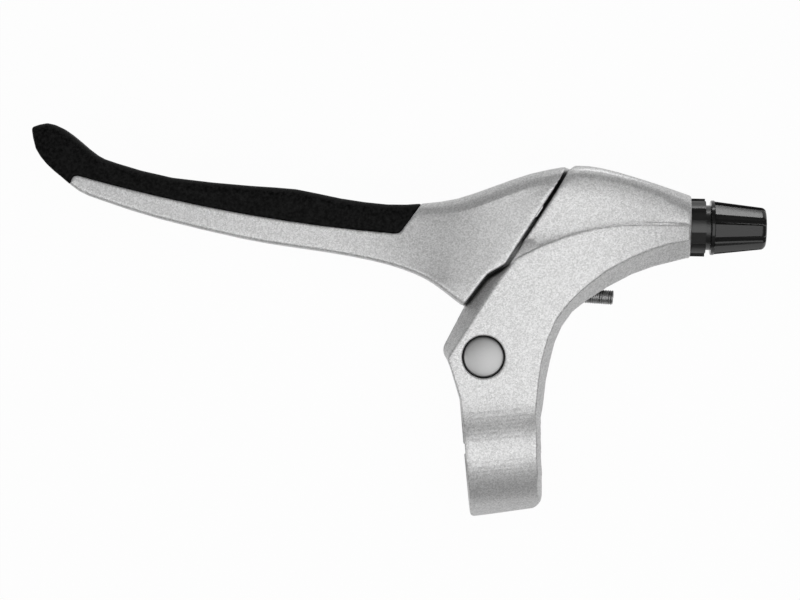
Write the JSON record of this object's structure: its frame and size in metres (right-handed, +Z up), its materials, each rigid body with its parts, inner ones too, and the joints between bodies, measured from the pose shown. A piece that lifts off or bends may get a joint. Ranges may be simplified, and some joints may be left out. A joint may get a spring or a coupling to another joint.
{
  "type": "bicycle brake lever",
  "caption": "Flat-bar bicycle brake lever: cast bracket with split bar clamp, padded finger lever on a plain pivot, reach screw and threaded cable adjuster.",
  "frame": {"origin": "centre of the bar clamp", "axes": "+X along the handlebar towards the cable adjuster, +Y forward from the bar towards the blade, +Z up out of the face the rider sees"},
  "size_m": [0.1599, 0.0946, 0.0352],
  "materials": {
    "silver_paint": "satin metallic paint with a fine sparkle",
    "pad_rubber": "matt, finely grained",
    "bright_steel": "bright plated",
    "bush_polymer": "matt",
    "black_metal": "satin black",
    "black_plastic": "glossy"
  },
  "bodies": {
    "bracket_body": {"bracket": "silver_paint", "pivot_pin": "bright_steel", "pivot_screw": "bright_steel", "clamp_bolt": "bright_steel", "clamp_washer": "bright_steel"},
    "lever_body": {"lever_blade": "silver_paint", "grip_pad": "pad_rubber", "upper_bush": "bush_polymer", "lower_bush": "bush_polymer"},
    "reach_body": {"reach_screw": "bright_steel"},
    "barrel_body": {"adjuster_barrel": "black_metal"},
    "knob_body": {"adjuster_knob": "black_plastic"},
    "ring_body": {"lock_ring": "black_metal"}
  },
  "joints": [
    {"name": "lever_pivot", "type": "hinge", "parent": "bracket_body", "child": "lever_body", "pos_m": [-0.0024, 0.0204, 0], "axis": [0, 0, 1], "range_deg": [0, 30]},
    {"name": "reach_travel", "type": "slide", "parent": "bracket_body", "child": "reach_body", "axis": [0.9877, -0.1564, 0], "range_m": [0, 0.003]},
    {"name": "adjuster_travel", "type": "slide", "parent": "bracket_body", "child": "barrel_body", "axis": [0.9945, -0.1045, 0], "range_m": [0, 0.005]},
    {"name": "adjuster_turn", "type": "hinge", "parent": "barrel_body", "child": "knob_body", "pos_m": [0.0457, 0.0448, 0], "axis": [0.9945, -0.1045, 0], "range_deg": [0, 1800]},
    {"name": "ring_turn", "type": "hinge", "parent": "bracket_body", "child": "ring_body", "pos_m": [0.0457, 0.0448, 0], "axis": [0.9945, -0.1045, 0], "range_deg": [0, 360]}
  ],
  "couplings": [
    {"joint": "adjuster_turn", "follows": "adjuster_travel", "rad_per_m": 6283.2}
  ]
}
